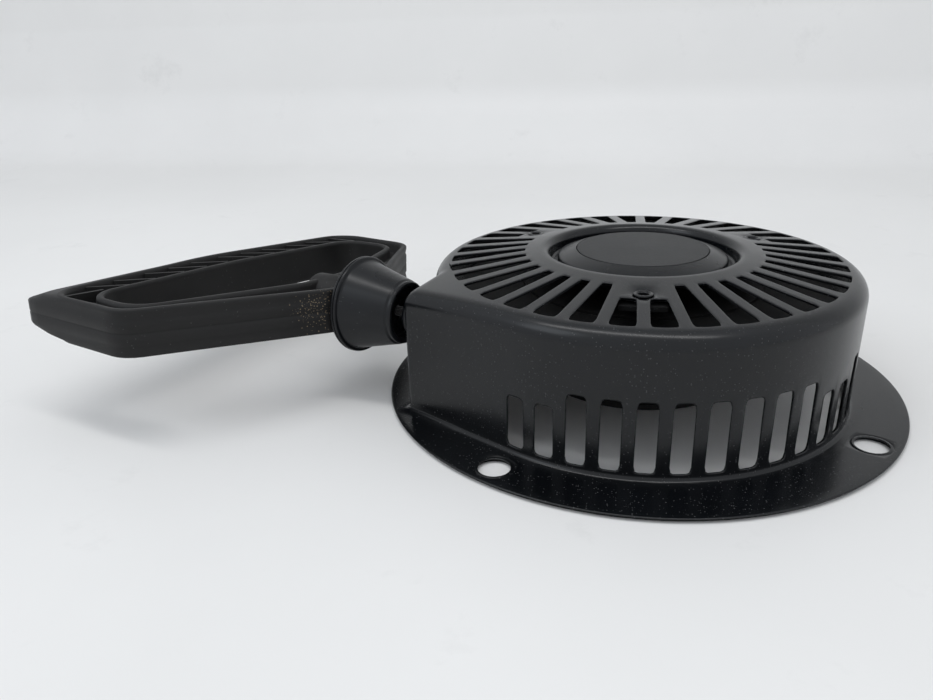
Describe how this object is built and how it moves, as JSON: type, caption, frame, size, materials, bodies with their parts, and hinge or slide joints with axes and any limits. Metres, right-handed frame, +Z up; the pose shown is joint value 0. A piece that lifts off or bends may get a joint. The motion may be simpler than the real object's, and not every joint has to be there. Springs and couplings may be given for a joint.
{
  "type": "recoil starter",
  "caption": "Rope recoil starter: a vented round pressed-steel housing with a mounting flange, a sprung rope pulley with swinging dogs, a side rope outlet and a loop pull handle.",
  "frame": {"origin": "under the middle of the whole object's box, level with the underside of the flange", "axes": "+Z up along the pulley's axis, +X from the pull handle towards the housing"},
  "size_m": [0.3032, 0.19, 0.0534],
  "materials": {
    "black_paint": "satin black paint with fine dust",
    "satin_plastic": "satin black moulding",
    "textured_plastic": "fine matte texture",
    "grip_rubber": "matte black rubber with fine mould marks",
    "pulley_nylon": "moulded black nylon",
    "spring_steel": "blued spring strip",
    "zinc_steel": "zinc-plated steel",
    "rope_fibre": "dark braided cord"
  },
  "bodies": {
    "root": {"housing_shell": "black_paint", "center_cap": "satin_plastic", "cap_disc": "textured_plastic", "spider_plate": "black_paint", "center_post": "zinc_steel", "hub_rivet_1": "black_paint", "hub_rivet_2": "black_paint", "hub_rivet_3": "black_paint", "rope_eyelet": "satin_plastic", "thrust_washer": "spring_steel", "brake_spring": "spring_steel", "brake_washer": "zinc_steel", "center_screw": "zinc_steel"},
    "pulley": {"pulley": "pulley_nylon", "dog_carrier": "pulley_nylon", "pulley_knot": "rope_fibre", "wound_rope": "rope_fibre", "rewind_spring": "spring_steel", "spring_keeper": "zinc_steel", "dog_spring_1": "spring_steel", "dog_spring_2": "spring_steel"},
    "retainer": {"dog_retainer": "black_paint"},
    "dog_1": {"starter_dog_1": "zinc_steel"},
    "dog_2": {"starter_dog_2": "zinc_steel"},
    "handle": {"handle_grip": "grip_rubber", "handle_cup": "satin_plastic", "rope_knot": "rope_fibre", "rope_strand": "rope_fibre"}
  },
  "joints": [
    {"name": "pulley_spin", "type": "hinge", "parent": "root", "child": "pulley", "pos_m": [0.05661, 0, 0.0345], "axis": [0, 0, -1], "range_deg": [0, 1410], "stiffness_Nm_per_rad": 0.006},
    {"name": "handle_pull", "type": "slide", "parent": "root", "child": "handle", "axis": [-0.9336, 0.3584, 0], "range_m": [0, 1.41]},
    {"name": "retainer_turn", "type": "hinge", "parent": "pulley", "child": "retainer", "pos_m": [0.05661, 0, 0.0068], "axis": [0, 0, 1], "range_deg": [0, 28], "stiffness_Nm_per_rad": 0.02},
    {"name": "dog_1_swing", "type": "hinge", "parent": "pulley", "child": "dog_1", "pos_m": [0.08198, 0.00924, 0.0113], "axis": [0, 0, 1], "range_deg": [0, 28], "stiffness_Nm_per_rad": 0.01},
    {"name": "dog_2_swing", "type": "hinge", "parent": "pulley", "child": "dog_2", "pos_m": [0.03123, -0.00924, 0.0113], "axis": [0, 0, 1], "range_deg": [0, 28], "stiffness_Nm_per_rad": 0.01}
  ],
  "couplings": [
    {"joint": "handle_pull", "follows": "pulley_spin", "m_per_rad": 0.057},
    {"joint": "dog_1_swing", "follows": "retainer_turn", "ratio": 1},
    {"joint": "dog_2_swing", "follows": "retainer_turn", "ratio": 1}
  ]
}
